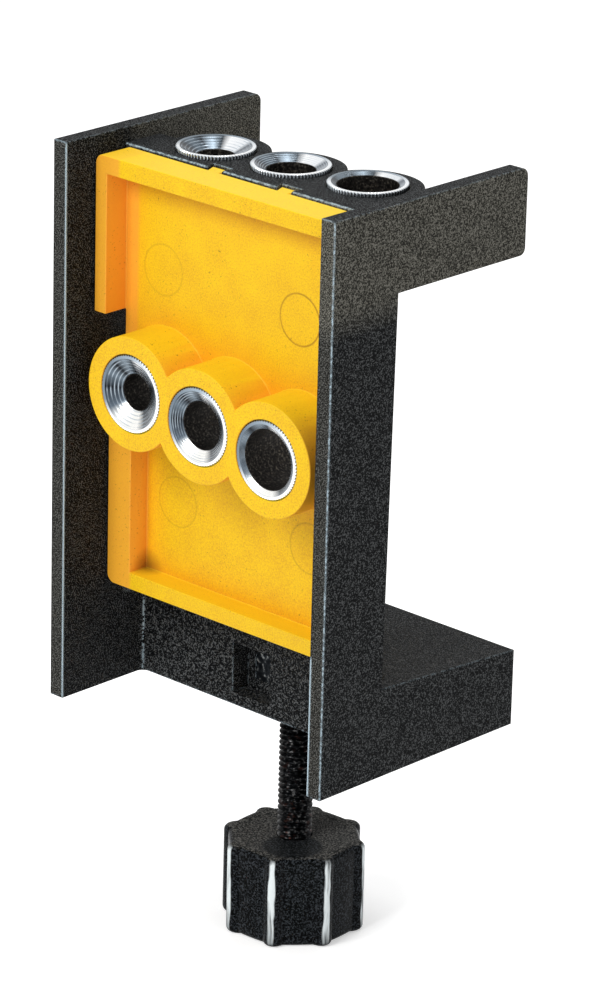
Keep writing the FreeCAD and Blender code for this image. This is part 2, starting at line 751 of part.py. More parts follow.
def check_and_write(pieces):
    """Stop on any broken feature, then write each piece as a STEP file."""
    doc.recompute()
    for item in doc.Objects:
        if "Invalid" in item.State or "Error" in item.State:
            raise RuntimeError("%s is %s" % (item.Label, item.State))
        shape = getattr(item, "Shape", None)
        if shape is not None and item.isDerivedFrom("PartDesign::Feature"):
            if shape.isNull() or not shape.isValid():
                raise RuntimeError("%s has a bad shape" % item.Label)
    os.makedirs("parts", exist_ok=True)
    for body in pieces:
        if body.Shape.isNull() or not body.Shape.isValid() or len(body.Shape.Solids) != 1:
            raise RuntimeError("%s is not one sound solid" % body.Label)
        body.Shape.exportStep("parts/%s.step" % body.Label)
        print("%-20s %8.2f mm3" % (body.Label, body.Shape.Volume))


check_and_write(make_all())
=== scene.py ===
# %% [markdown]
# # A self centering doweling jig
# The jig holds a board in the throat of a black C shaped frame. A yellow
# carriage carries three steel guide bushings in front of the board, and the
# knob under the frame moves it. The solids come from a CAD model, so every
# piece here already has its place. This lesson gives each piece its finish,
# and models the few pieces whose charm is in small forms: the knob, the
# threaded spindle and the knurled bushings.

# %% Load the frame
import math
import bmesh
import bpy
import numpy as np
from mathutils import Matrix, Vector


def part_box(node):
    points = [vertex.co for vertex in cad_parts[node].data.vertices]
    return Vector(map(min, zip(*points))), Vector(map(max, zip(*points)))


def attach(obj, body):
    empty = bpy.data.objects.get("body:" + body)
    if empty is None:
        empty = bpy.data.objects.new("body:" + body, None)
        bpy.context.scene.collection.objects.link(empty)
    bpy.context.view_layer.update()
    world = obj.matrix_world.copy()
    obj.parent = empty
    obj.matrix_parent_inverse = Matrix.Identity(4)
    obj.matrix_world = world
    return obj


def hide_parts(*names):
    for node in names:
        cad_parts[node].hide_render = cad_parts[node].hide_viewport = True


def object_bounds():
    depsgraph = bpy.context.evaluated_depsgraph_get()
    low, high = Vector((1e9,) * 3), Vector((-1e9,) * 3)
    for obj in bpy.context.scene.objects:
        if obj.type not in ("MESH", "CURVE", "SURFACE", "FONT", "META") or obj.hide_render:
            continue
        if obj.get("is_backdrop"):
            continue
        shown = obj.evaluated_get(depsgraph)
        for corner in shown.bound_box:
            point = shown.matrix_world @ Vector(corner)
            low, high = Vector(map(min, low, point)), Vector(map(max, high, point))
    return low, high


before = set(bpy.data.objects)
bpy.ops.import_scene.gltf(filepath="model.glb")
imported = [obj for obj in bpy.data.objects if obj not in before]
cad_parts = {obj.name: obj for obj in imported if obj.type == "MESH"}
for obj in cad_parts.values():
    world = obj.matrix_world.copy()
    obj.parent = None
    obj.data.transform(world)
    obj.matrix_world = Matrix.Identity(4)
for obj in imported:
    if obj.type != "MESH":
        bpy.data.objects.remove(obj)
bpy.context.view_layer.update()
MM = 0.001

# %% [markdown]
# ## Where things are
# The CAD model is in metres with Z up. Its drawing was made in millimetres
# from the front edges and the bottom of the frame, so a small helper turns
# those drawing numbers into places in the scene. The places of pieces that
# are remade here are asked from the frame itself, because a number that is
# written down twice can go wrong in one of its two places.

# %% Drawing numbers to scene places
JIG_DEPTH = 47.0   # from the front edges to the back of the jaw
KNOB_DROP = 40.5   # from the frame's bottom down to the knob's underside
TURN = 2 * math.pi


def place(x, y, z):
    """Move a drawing point in millimetres to the scene, in metres."""
    return Vector((x, y - JIG_DEPTH / 2, z + KNOB_DROP)) * MM


def add_object(name, data):
    """Put a new object that shows the data into the scene."""
    thing = bpy.data.objects.new(name, data)
    bpy.context.scene.collection.objects.link(thing)
    return thing


def corners_of(node):
    """The lowest and the highest corner of a CAD node, in millimetres."""
    return [Vector(corner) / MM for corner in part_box(node)]


def middle_of(node):
    """The middle of a CAD node's box, in millimetres."""
    low, high = corners_of(node)
    return (low + high) / 2


print("the frame's bottom lies at", round(place(0, 0, 0).z, 4), "m")

# %% [markdown]
# ## The camera
# A long lens far away keeps the plates almost parallel, as in a catalogue
# picture. The camera's place and turn were worked out by matching sixty
# corners of the jig, so they are plain numbers here.

# %% Camera
CAMERA_AT = (521.06, -533.09, 318.55)
CAMERA_YAW = math.radians(42.92)
CAMERA_PITCH = math.radians(-20.23)
CAMERA_ROLL = math.radians(1.448)
LENS = 176.1   # focal length in millimetres
SENSOR = 36    # width in millimetres


def camera_turn(yaw, pitch, roll):
    """Build the turn whose -Z looks along yaw and pitch, with Y up."""
    ahead = Vector((
        -math.sin(yaw) * math.cos(pitch),
        math.cos(yaw) * math.cos(pitch),
        math.sin(pitch)))
    right = ahead.cross(Vector((0, 0, 1))).normalized()
    up = right.cross(ahead)
    across = right * math.cos(roll) + up * math.sin(roll)
    over = up * math.cos(roll) - right * math.sin(roll)
    return Matrix((across, over, -ahead)).transposed()


camera_data = bpy.data.cameras.new("camera")
camera_data.sensor_width = SENSOR
camera_data.lens = LENS
camera_data.clip_start = 0.05
camera_data.clip_end = 20
camera = add_object("camera", camera_data)
camera_place = Matrix.Translation(place(*CAMERA_AT))
camera_facing = camera_turn(CAMERA_YAW, CAMERA_PITCH, CAMERA_ROLL)
camera.matrix_world = camera_place @ camera_facing.to_4x4()
bpy.context.scene.camera = camera
print("camera at", tuple(round(v, 3) for v in camera.matrix_world.translation))

# %% [markdown]
# ## Writing shaders as sums
# A shader node tree is a drawing of a calculation. It could be drawn by hand
# in the editor, but a long one is easier to read as a sum. `Wire` lets it be
# written as Python: `1 - mask` adds the Math node for it.

# %% Wires
class Wire:
    """One output of a node, which can be added, multiplied and so on."""

    def __init__(self, tree, node, output):
        self.tree = tree
        self.node = node
        self.socket = node.outputs[output]

    def other(self, output):
        """Another output of the same node."""
        return Wire(self.tree, self.node, output)

    def maths(self, operation, left, right=0.0, clamp=False):
        """Add a Math node that works on two values."""
        return self.tree.add(
            "ShaderNodeMath", "Value",
            {"operation": operation, "use_clamp": clamp}, {0: left, 1: right})

    def __add__(self, value):
        return self.maths("ADD", self, value)

    __radd__ = __add__

    def __sub__(self, value):
        return self.maths("SUBTRACT", self, value)

    def __rsub__(self, value):
        return self.maths("SUBTRACT", value, self)

    def __mul__(self, value):
        return self.maths("MULTIPLY", self, value)

    def __pow__(self, value):
        return self.maths("POWER", self, value)

    def __abs__(self):
        return self.maths("ABSOLUTE", self)

    def sine(self):
        """The sine of the value."""
        return self.maths("SINE", self)

    def fraction(self):
        """What is left of the value after its whole part."""
        return self.maths("FRACT", self)

    def larger(self, value):
        """The larger of this value and another."""
        return self.maths("MAXIMUM", self, value)

    def clamped(self):
        """The same value, kept between 0 and 1."""
        return self.maths("ADD", self, 0.0, clamp=True)

    def above(self, level, width):
        """0 below the level, 1 above it, with a soft step of that width."""
        return self.maths("MULTIPLY", self - level, 1.0 / width, clamp=True)


print("Wire is ready: + - * ** and abs() each add a Math node")

# %% [markdown]
# ## Trees and finishes
# A material and the world both hold a node tree, so `Tree` serves both. Its
# `add` makes every kind of node: settings such as a ramp's stops come first,
# then the inputs. `Finish` is the tree of one material, with a few helpers
# for patterns that sit still on a piece, because they read its own
# coordinates.

# %% Trees and finishes
class Tree:
    """The node tree of a material or of the world."""

    def __init__(self, owner):
        owner.use_nodes = True
        self.nodes = owner.node_tree.nodes
        self.links = owner.node_tree.links

    def put(self, socket, value):
        """Give a socket a value, or a wire from another node."""
        if isinstance(value, Wire):
            self.links.new(value.socket, socket)
        else:
            socket.default_value = value

    def add(self, kind, output, settings=None, inputs=None):
        """Add a node, set it up, feed its inputs and return one output."""
        node = self.nodes.new(kind)
        for name, value in (settings or {}).items():
            if name == "stops":
                set_stops(node.color_ramp, value)
            else:
                setattr(node, name, value)
        for name, value in (inputs or {}).items():
            self.put(node.inputs[name], value)
        return Wire(self, node, output)

    def sight(self):
        """1 for rays that show what is behind: camera, gloss and glass."""
        camera_ray = self.add("ShaderNodeLightPath", "Is Camera Ray")
        reflected = camera_ray.larger(camera_ray.other("Is Glossy Ray"))
        return reflected.larger(camera_ray.other("Is Transmission Ray"))

    def show(self, lighting, backdrop, output):
        """Join two shaders: one lights the jig, the other is what is seen."""
        joined = self.add("ShaderNodeMixShader", "Shader", {}, {
            0: self.sight(), 1: lighting, 2: backdrop})
        self.put(self.nodes[output].inputs["Surface"], joined)


class Finish(Tree):
    """A material and its nodes."""

    def __init__(self, name):
        self.material = bpy.data.materials.new(name)
        super().__init__(self.material)
        self.shader = self.nodes["Principled BSDF"]
        self.where = self.add("ShaderNodeTexCoord", "Object")

    def noise(self, scale, detail=2.0, rough=0.5, stretch=None):
        """A noise between 0 and 1 over the piece; scale is per metre."""
        where = self.where
        if stretch:
            where = self.add("ShaderNodeMapping", "Vector", {}, {
                "Vector": where, "Scale": stretch})
        return self.add("ShaderNodeTexNoise", "Fac", {}, {
            "Vector": where, "Scale": scale,
            "Detail": detail, "Roughness": rough})

    def blend(self, factor, first, second):
        """Mix two colours by a factor."""
        return self.add("ShaderNodeMix", 2, {"data_type": "RGBA"}, {
            0: factor, 6: first, 7: second})

    def bump(self, height, distance, strength):
        """Turn a height into a bent normal; distance is in metres."""
        return self.add("ShaderNodeBump", "Normal", {}, {
            "Height": height, "Distance": distance, "Strength": strength})

    def normal(self):
        """The way the surface looks, before any bump."""
        return self.add("ShaderNodeNewGeometry", "Normal")

    def rounded(self, radius):
        """The normal that the surface would have with rounded corners."""
        return self.add(
            "ShaderNodeBevel", "Normal", {"samples": 6}, {"Radius": radius})

    def facing(self, normal, way):
        """How squarely a normal looks along a way: 1 when it does."""
        return self.add(
            "ShaderNodeVectorMath", "Value", {"operation": "DOT_PRODUCT"},
            {0: normal, 1: Vector(way).normalized()})

    def distance(self, spot, squash=(1, 1, 1)):
        """Metres from a spot, with some axes left out by squash."""
        flat = self.add(
            "ShaderNodeVectorMath", "Vector", {"operation": "MULTIPLY"},
            {0: self.where, 1: squash})
        centre = Vector(spot) * Vector(squash)
        return self.add(
            "ShaderNodeVectorMath", "Value", {"operation": "DISTANCE"},
            {0: flat, 1: centre})

    def coordinate(self, axis):
        """One coordinate of the piece, in metres."""
        return self.add(
            "ShaderNodeSeparateXYZ", axis, {}, {"Vector": self.where})

    def ring_map(self):
        """The UV map of a turned piece: share of the turn, profile zone."""
        rings = self.add("ShaderNodeTexCoord", "UV")
        share = self.add("ShaderNodeSeparateXYZ", "X", {}, {"Vector": rings})
        return share, share.other("Y")

    def ramp(self, value, *stops):
        """Turn a value into a colour through (place, colour) stops."""
        return self.add(
            "ShaderNodeValToRGB", "Color", {"stops": stops}, {"Fac": value})

    def surface(self, **values):
        """Feed the sockets of the material's main shader."""
        for name, value in values.items():
            self.put(self.shader.inputs[name.replace("_", " ")], value)


def set_stops(ramp, stops):
    """Set a colour ramp from (place, colour) pairs."""
    while len(ramp.elements) < len(stops):
        ramp.elements.new(1.0)
    for element, (spot, colour) in zip(ramp.elements, stops):
        element.position = spot
        element.color = colour


def paint(red, green, blue):
    """A colour as the eye reads it, 0 to 255, as the shader wants it."""
    def linear(level):
        level = level / 255
        if level <= 0.04045:
            return level / 12.92
        return ((level + 0.055) / 1.055) ** 2.4
    return (linear(red), linear(green), linear(blue), 1.0)


print("half of 255 is written as", round(paint(127.5, 0, 0)[0], 4))

# %% [markdown]
# ## The black moulding
# The frame and the block are charcoal plastic with a fine spark texture.
# Thousands of tiny pits make it look matt, so one small noise drives the
# colour, the bump and the roughness together. The arms and the front faces
# get painted light: they are mixed with a paler warm grey where more light
# falls on them, the arms by height.

# %% Black moulding
black = Finish("charcoal moulding")
grain = black.noise(4300, detail=1.0, rough=0.7)
coarse = black.noise(1500, detail=1.0)
tone = (grain * 0.88 + coarse * 0.12).clamped()
charcoal = black.ramp(
    tone,
    (0.42, paint(0, 1, 2)),
    (0.52, paint(3, 4, 5)),
    (0.60, paint(84, 86, 87)))
# a paler warm grey, for the painted light on the arms and the front faces
lit_grey = black.ramp(
    tone,
    (0.40, paint(28, 27, 24)),
    (0.50, paint(63, 62, 56)),
    (0.61, paint(124, 122, 114)))
print("black moulding has", len(black.nodes), "nodes so far")

# %% Where the black is painted lighter
ARM_UNDER = place(0, 0, 82.8).z
ARM_FADE = 5.2 * MM
STRIP_BACK = place(0, 15.2, 0).y
height = black.coordinate("Z")
depth = black.coordinate("Y")
near_side = black.coordinate("X").above(0, 4 * MM)
arms = height.above(ARM_UNDER - ARM_FADE, ARM_FADE)
behind_strips = depth.above(STRIP_BACK - MM, 3 * MM)
top_faces = black.facing(black.normal(), (0, 0, 1)).above(0.8, 0.15)
# painted light: the black above the arms' underside is painted paler, behind the front
# strips and all over the near side, but not on top faces
lit_arms = arms * behind_strips.larger(near_side) * (1 - top_faces)
print("black moulding has", len(black.nodes), "nodes so far")

# %% [markdown]
# Corners get a painted highlight: a pale line where light glints off a
# rounded edge. A rounded normal turns from one face to the next near a
# corner, so a corner is where that normal looks half way between. Each line
# is then limited to the part of the frame where the highlight shows.

# %% Painted highlights on the black's corners
HIGHLIGHT_ROUNDING = 0.7 * MM
STRIP_FRONT = place(0, 1.0, 0).y
JAW_LOW = place(0, 0, 2.0).z
CARRIAGE_LOW = place(0, 0, 23.6).z
corner_normal = black.rounded(HIGHLIGHT_ROUNDING)


def corner(way, level, width=0.03):
    """1 where the rounded normal of the black looks along a way."""
    return black.facing(corner_normal, way).above(level, width)


broken = black.noise(1500, detail=2.0).above(0.45, 0.05)
at_front = 1 - depth.above(STRIP_FRONT, 2 * MM)
at_top = height.above(ARM_UNDER, 2 * MM)
at_foot = 1 - height.above(JAW_LOW, MM)
under_carriage = 1 - height.above(CARRIAGE_LOW, MM)
# painted light: the front faces are painted a little paler
lit_front_faces = corner((0, -1, 0), 0.8, 0.15) * at_front
# painted highlight: pale blue-white lines along the rounded corners that look a chosen way
edge_highlight = (
    corner((1, -1, 0), 0.92) * at_front * (1 - near_side * broken * 0.8)
    + corner((-1, -1, 0), 0.80, 0.05) * near_side * under_carriage * at_front
    + corner((1, -1, 0), 0.992, 0.005) * broken * 0.5
    + corner((0, -1, 1), 0.95) * at_top * (0.25 + broken * 0.45)
    + corner((0, -1, -1), 0.95) * at_foot * broken * 0.4
    + corner((1, 0, 1), 0.965) * broken * 0.3).clamped()
# charcoal with painted light: the paler grey on the arms and the front faces
moulded = black.blend(
    (lit_arms + lit_front_faces * 0.35).clamped(), charcoal, lit_grey)
black.surface(
    Base_Color=black.blend(edge_highlight, moulded, paint(198, 220, 232)),
    Roughness=(0.5 + grain * 0.25 - edge_highlight * 0.15).clamped(),
    Specular_IOR_Level=0.05,
    Normal=black.bump(grain, 0.06 * MM, 0.5))
print("black moulding has", len(black.nodes), "nodes")

# %% [markdown]
# ## The yellow moulding
# The carriage is a strong warm yellow with a satin skin. The pins that push
# a moulding out of its tool leave faint circles, two on each panel, some
# pressed deeper than others. A circle is where the distance from its centre
# is near its radius.

# %% Yellow moulding
PIN_RADIUS = 4.35 * MM
PIN_LINE = 0.06 * MM
PIN_FADE = 0.18 * MM
PIN_MARKS = [
    (place(-16.69, 11.0, 76.33), 0.35), (place(14.11, 11.0, 75.15), 1.0),
    (place(-15.48, 14.0, 35.35), 0.4), (place(14.73, 14.0, 35.37), 0.5)]
yellow = Finish("signal yellow moulding")
mottle = yellow.noise(210, detail=4.0)
skin_grain = yellow.noise(3600, detail=2.0, rough=0.7)
outward = yellow.normal()
panel_side = yellow.facing(outward, (0, -1, 0)).above(0.7, 0.2)
pin_rings = 0.0
for mark, pressed in PIN_MARKS:
    off = abs(yellow.distance(mark, (1, 0, 1)) - PIN_RADIUS)
    pin_rings = (1 - off.above(PIN_LINE, PIN_FADE)) * pressed + pin_rings
pin_rings = pin_rings.clamped() * panel_side * (0.3 + mottle)
print("yellow moulding has", len(yellow.nodes), "nodes so far")

# %% [markdown]
# Dust sits in the yellow as small dark specks. The hollows get a painted
# shade of orange brown, the left rim and the faces that look right get a warm
# painted shade, and the faces that look up get a painted highlight. The lower
# left corner of the recess is darker. Each of these is a mask from 0 to 1, and
# the colour is painted over through one mask after the other.

# %% Masks on the yellow
DARK_CORNER = place(-22.3, 14.0, 21.8)
LEFT_RIM = place(-22.9, 0, 0).x
LEFT_BOSS = place(-15.46, 0, 57.06)
BOSS_RADIUS = 10 * MM
HOLLOW_REACH = 6 * MM
clusters = yellow.noise(150, detail=2.0).above(0.45, 0.12)
specks = yellow.noise(2300, detail=2.0, rough=0.8).above(0.655, 0.03)
not_back = 1 - yellow.facing(outward, (0, 1, 0)).above(0.4, 0.3)
# darker brown towards the lower left corner of the lower recess, not on the back
near_dark_corner = 1 - yellow.distance(DARK_CORNER).above(0.6 * MM, 3.2 * MM)
corner_darkening = near_dark_corner * (0.4 + skin_grain) * not_back
# painted shade: the hollows that the ambient occlusion finds are painted orange brown
openness = yellow.add(
    "ShaderNodeAmbientOcclusion", "AO",
    {"samples": 8, "only_local": True}, {"Distance": HOLLOW_REACH})
# faces that look up get a painted highlight, faces that look right a warm painted shade
looks_up = yellow.facing(outward, (0, 0, 1)).above(0.3, 0.5)
looks_right = yellow.facing(outward, (1, 0, -0.3)).above(0.2, 0.6)
shade = ((1 - openness) * 1.5).clamped() * (1 - looks_up * 0.85)
off_boss = yellow.distance(LEFT_BOSS, (1, 0, 1)).above(BOSS_RADIUS, 0.6 * MM)
# painted shade: the left rim, outside the left boss and not at the back, is painted a
# warmer orange
at_left = 1 - yellow.coordinate("X").above(LEFT_RIM, 0.8 * MM)
left_rim_shade = at_left * not_back * off_boss
print("yellow moulding has", len(yellow.nodes), "nodes so far")

# %% Colour of the yellow
yellow_lit_and_shaded = yellow.ramp(
    (mottle * 0.22 + skin_grain * 0.78).clamped(),
    (0.36, paint(220, 164, 28)),
    (0.50, paint(236, 189, 20)),
    (0.64, paint(246, 204, 20)))
# painted shade in the hollows, on the left rim and on faces that look right, and a painted
# highlight on faces that look up; then pin marks, dust specks and the darker corner
for mask, colour in (
        (shade * 0.5, paint(232, 142, 36)),
        (left_rim_shade * 0.65, paint(240, 158, 58)),
        (looks_up * 0.6, paint(255, 218, 40)),
        (looks_right * 0.6, paint(255, 172, 62)),
        (pin_rings * 0.75, paint(150, 96, 16)),
        ((specks * clusters * 0.62 + corner_darkening * 0.7).clamped(),
         paint(104, 66, 22))):
    yellow_lit_and_shaded = yellow.blend(mask, yellow_lit_and_shaded, colour)
yellow.surface(
    Base_Color=yellow_lit_and_shaded,
    Roughness=0.4 + skin_grain * 0.16,
    Specular_IOR_Level=0.22,
    Normal=yellow.bump(skin_grain * 0.5 - pin_rings, 0.05 * MM, 0.5))
print("yellow moulding has", len(yellow.nodes), "nodes")

# %% [markdown]
# ## Turned steel
# The bushings are turned on a lathe and plated. Their pieces carry a UV map
# made for this: u goes once round the ring, and v counts the zones of the
# profile, 0 to 1 in the bore, 1 to 2 on the funnel, 2 to 3 on the rim and
# more on the outer wall. The turning tool leaves fine rings along v, which
# are bumped and drawn as pale lines of painted reflection. Pale and dark
# bands of painted reflection run round u, the knurl gets painted shade and
# highlight, and the bore gets a painted shade.

# %% Zones of the steel
KNURL_TEETH = 72
RINGS_IN_ZONE = 5.0
zinc = Finish("bright zinc steel")
around, zone = zinc.ring_map()
rim = zone.above(1.96, 0.04)
funnel = zone.above(0.97, 0.03) * (1 - rim)
outer_wall = zone.above(2.75, 0.2) * (1 - zone.above(3.98, 0.01))
tool_rings = (zone * TURN * RINGS_IN_ZONE).sine() * 0.5 + 0.5
teeth = (around * TURN * KNURL_TEETH).sine() * 0.5 + 0.5
swirl = zinc.noise(2600, detail=3.0)
# patches where the pale tool rings show
patchy = zinc.noise(380, detail=2.0).above(0.44, 0.14)
upright = zinc.coordinate("Z").above(ARM_UNDER, MM)
print("turned steel has", len(zinc.nodes), "nodes so far")

# %% Colour of the steel
# painted reflection: pale and dark bands by the angle round the axis, turned a little on
# the upright bushings
reflection_bands = zinc.ramp(
    around - upright * 0.09,
    (0.00, paint(150, 158, 166)), (0.07, paint(88, 96, 106)),
    (0.11, paint(236, 240, 244)), (0.21, paint(250, 251, 252)),
    (0.25, paint(52, 58, 64)), (0.30, paint(118, 130, 140)),
    (0.36, paint(22, 24, 28)), (0.42, paint(96, 108, 118)),
    (0.50, paint(24, 27, 32)), (0.60, paint(92, 104, 116)),
    (0.66, paint(236, 238, 236)), (0.79, paint(252, 251, 246)),
    (0.84, paint(120, 122, 124)), (0.92, paint(176, 180, 184)),
    (1.00, paint(150, 158, 166)))
# painted reflection on the rim: near white on some sides, grey blue on others
bright = zinc.ramp(
    around,
    (0.00, paint(250, 251, 252)), (0.12, paint(236, 240, 244)),
    (0.24, paint(150, 164, 176)), (0.40, paint(104, 116, 126)),
    (0.56, paint(120, 132, 142)), (0.64, paint(236, 240, 242)),
    (1.00, paint(250, 251, 252)))
# painted shade in the bore: dark grey with noise
bore_shade = zinc.ramp(
    swirl,
    (0.35, paint(26, 25, 25)),
    (0.55, paint(52, 49, 46)),
    (0.72, paint(104, 100, 92)))
# the tool rings drawn in patches as pale lines over the painted reflection bands
ringed_reflection = zinc.blend(
    tool_rings ** 5 * (0.15 + patchy * 0.65), reflection_bands, paint(176, 188, 198))
# painted shade and highlight on the knurl: dark and pale stripes round the outer wall
knurl = zinc.blend(teeth, paint(24, 26, 30), paint(196, 204, 210))
steel = zinc.blend(funnel, bore_shade, ringed_reflection)
steel = zinc.blend(rim, steel, bright)
steel = zinc.blend(outer_wall, steel, knurl)
zinc.surface(
    Base_Color=steel,
    Metallic=1.0,
    Roughness=(0.5 - funnel * 0.3 - rim * 0.3 + swirl * 0.1).clamped(),
    Normal=zinc.bump(tool_rings * funnel, 0.03 * MM, 0.5))
print("turned steel has", len(zinc.nodes), "nodes")

# %% [markdown]
# ## Other metal
# The spindle is dark oiled steel with a little rust in its thread. The nut,
# the washers and the pad are dull zinc. Both are dark metal with pale spots,
# because a cloudy noise is turned into colour by a steep ramp.

# %% Other metal
oiled = Finish("dark oiled steel")
smear = oiled.noise(1500, detail=3.0)
rust = oiled.noise(700, detail=3.0).above(0.58, 0.10)
dark_steel = oiled.ramp(
    smear,
    (0.40, paint(8, 9, 10)),
    (0.56, paint(26, 27, 29)),
    (0.72, paint(112, 112, 112)))
oiled.surface(
    Base_Color=oiled.blend(rust * 0.2, dark_steel, paint(104, 66, 56)),
    Metallic=1.0,
    Roughness=0.36 + smear * 0.25,
    Normal=oiled.bump(smear, 0.05 * MM, 0.5))

plated = Finish("dull zinc plate")
bloom = plated.noise(1200, detail=3.0)
dull_zinc = plated.ramp(
    bloom,
    (0.40, paint(14, 17, 20)),
    (0.58, paint(40, 43, 46)),
    (0.72, paint(150, 153, 152)))
plated.surface(
    Base_Color=dull_zinc,
    Metallic=1.0,
    Roughness=0.34 + bloom * 0.2,
    Normal=plated.bump(bloom, 0.04 * MM, 0.4))
print("metal finishes:", oiled.material.name, "and", plated.material.name)

# %% [markdown]
# ## The knob's gloss
# The knob is the same black as the frame but moulded glossy. Its top is
# dusty and painted lighter, as painted light from above, with a painted dark
# reflection of the spindle in front of it. Its ridges get painted highlights,
# in lines that waver and break.

# %% Gloss black
KNOB_TALL = 16.2
RIDGES = 8
RIDGE_TURN = math.radians(25.9)
AXIS = middle_of("knob_cap")
AXIS.z = 0.0
# painted reflection: a dark patch on the top, in front of the spindle
SPINDLE_REFLECTION_AT = (AXIS + Vector((3.6, -4.2, KNOB_TALL))) * MM
SPINDLE_REFLECTION_RADIUS = 4.7 * MM
gloss = Finish("gloss black moulding")
haze = gloss.noise(3000, detail=2.0, rough=0.75)
knob_top = gloss.facing(gloss.normal(), (0, 0, 1)).above(0.8, 0.15)
spindle_reflection = 1 - gloss.distance(SPINDLE_REFLECTION_AT).above(SPINDLE_REFLECTION_RADIUS, 0.9 * MM)
side_black = gloss.ramp(
    haze,
    (0.42, paint(0, 1, 1)),
    (0.50, paint(3, 5, 6)),
    (0.60, paint(54, 58, 62)))
# dusty grey on the top, painted lighter than the sides as painted light from above
top_dust_and_light = gloss.ramp(
    haze,
    (0.40, paint(14, 14, 14)),
    (0.50, paint(50, 51, 50)),
    (0.62, paint(112, 110, 106)))
print("the knob turns about", tuple(round(v, 2) for v in AXIS), "mm")

# %% Painted highlights on the ridges
turn_share, ring_zone = gloss.ring_map()
drawn_out = gloss.noise(1300, detail=2.0, stretch=(1.0, 1.0, 0.10))
waver = gloss.noise(420, detail=2.0, stretch=(1.0, 1.0, 0.4))
first_ridge = RIDGE_TURN * RIDGES / TURN
ridge_phase = (turn_share * RIDGES - first_ridge + 0.5).fraction()
off_ridge = abs(ridge_phase - 0.5) + (waver - 0.5) * 0.10
on_side = ring_zone.above(1.2, 0.5) * (1 - ring_zone.above(2.6, 0.3))
# painted highlight: pale wavering lines down the ridges
ridge_highlight = ((1 - off_ridge.above(0.045, 0.025))
            * (0.25 + drawn_out.above(0.34, 0.2)) * on_side).clamped()
knob_black = gloss.blend(knob_top * (1 - spindle_reflection * 0.92), side_black, top_dust_and_light)
gloss.surface(
    Base_Color=gloss.blend(ridge_highlight, knob_black, paint(236, 244, 246)),
    Roughness=(0.16 + haze * 0.14 + knob_top * 0.35).clamped(),
    Specular_IOR_Level=0.04,
    Normal=gloss.bump(haze, 0.03 * MM, 0.3))
print("gloss black has", len(gloss.nodes), "nodes")

# %% [markdown]
# ## Rubber
# The pad has a rubber face, so that it doesn't mark the board. Rubber is
# matt and crumbly, so its bump is the deepest of all.

# %% Rubber
rubber = Finish("matt rubber")
crumb = rubber.noise(2200, detail=3.0)
rubber.surface(
    Base_Color=rubber.blend(crumb, paint(34, 34, 34), paint(64, 62, 60)),
    Roughness=0.75 + crumb * 0.15,
    Normal=rubber.bump(crumb, 0.12 * MM, 0.7))
print("rubber has", len(rubber.nodes), "nodes")

# %% [markdown]
# ## Softening the mouldings
# A moulded edge is never a knife edge. The CAD solids come in as loose
# triangles, so a copy is welded, its flat faces are joined up, and a small
# Bevel modifier rounds the sharp edges. The copy then stands for the node.

# %% Softened copies
WELD_DISTANCE = 2e-6
FLAT_ANGLE = math.radians(0.5)
BEVEL_ANGLE = math.radians(40)
BEVEL_STEPS = 2


def smooth(mesh, finish, crease):
    """Give a mesh its finish and smooth it, up to a crease in degrees."""
    mesh.materials.clear()
    mesh.materials.append(finish.material)
    mesh.shade_smooth()
    mesh.set_sharp_from_angle(angle=math.radians(crease))


def softened(node, body, radius, finish):
    """A welded copy of a CAD node with its sharp edges rounded."""
    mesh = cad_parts[node].data.copy()
    mesh.name = node + "_soft"
    work = bmesh.new()
    work.from_mesh(mesh)
    bmesh.ops.remove_doubles(work, verts=work.verts, dist=WELD_DISTANCE)
    bmesh.ops.dissolve_limit(
        work, angle_limit=FLAT_ANGLE, verts=work.verts, edges=work.edges)
    work.to_mesh(mesh)
    work.free()
    smooth(mesh, finish, crease=32)
    piece = add_object(node + "_moulding", mesh)
    rounding = piece.modifiers.new("rounded edges", "BEVEL")
    rounding.width = radius
    rounding.segments = BEVEL_STEPS
    rounding.limit_method = "ANGLE"
    rounding.angle_limit = BEVEL_ANGLE
    rounding.harden_normals = True
    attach(piece, body)
    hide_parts(node)
    print(piece.name, len(mesh.polygons), "faces before rounding")
    return piece


carriage = softened("carriage", "carriage_body", 0.30 * MM, yellow)
frame_shell = softened("frame", "frame_body", 0.25 * MM, black)
block = softened("bushing_block", "frame_body", 0.25 * MM, black)

# %% [markdown]
# ## Surfaces from grids
# The turned pieces are grids of points: one direction goes round the axis
# and the other follows a profile. Whole arrays are worked out at once, and
# the faces are found by joining each point to its neighbours.

# %% Grid to mesh
POLE_DISTANCE = 1e-7   # points this near meet on the axis and become one


def grid_mesh(name, points, zones, finish, body, replaces):
    """A mesh from rows of points, closed round each row.

    points[i, j] is step i along the profile and step j round the axis. Face
    (i, j) joins it to the next step along and the next step round. In its UV
    map u = j / steps round, and v is the row's zone.
    """
    along, around = points.shape[:2]
    i, j = np.meshgrid(np.arange(along - 1), np.arange(around), indexing="ij")
    after = (j + 1) % around
    faces = np.stack([
        i * around + j, i * around + after,
        (i + 1) * around + after, (i + 1) * around + j], axis=-1).reshape(-1, 4)
    mesh = bpy.data.meshes.new(name)
    mesh.from_pydata(points.reshape(-1, 3).tolist(), [], faces.tolist())
    across = np.stack([j, j + 1, j + 1, j], axis=-1) / around
    up = np.stack([zones[i], zones[i], zones[i + 1], zones[i + 1]], axis=-1)
    ring_uv = mesh.uv_layers.new(name="rings")
    ring_uv.data.foreach_set("uv", np.stack([across, up], axis=-1).ravel())
    work = bmesh.new()
    work.from_mesh(mesh)
    bmesh.ops.remove_doubles(work, verts=work.verts, dist=POLE_DISTANCE)
    bmesh.ops.recalc_face_normals(work, faces=work.faces)
    work.to_mesh(mesh)
    work.free()
    smooth(mesh, finish, crease=38)
    piece = add_object(name, mesh)
    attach(piece, body)
    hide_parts(replaces)
    print(name, len(mesh.polygons), "faces")


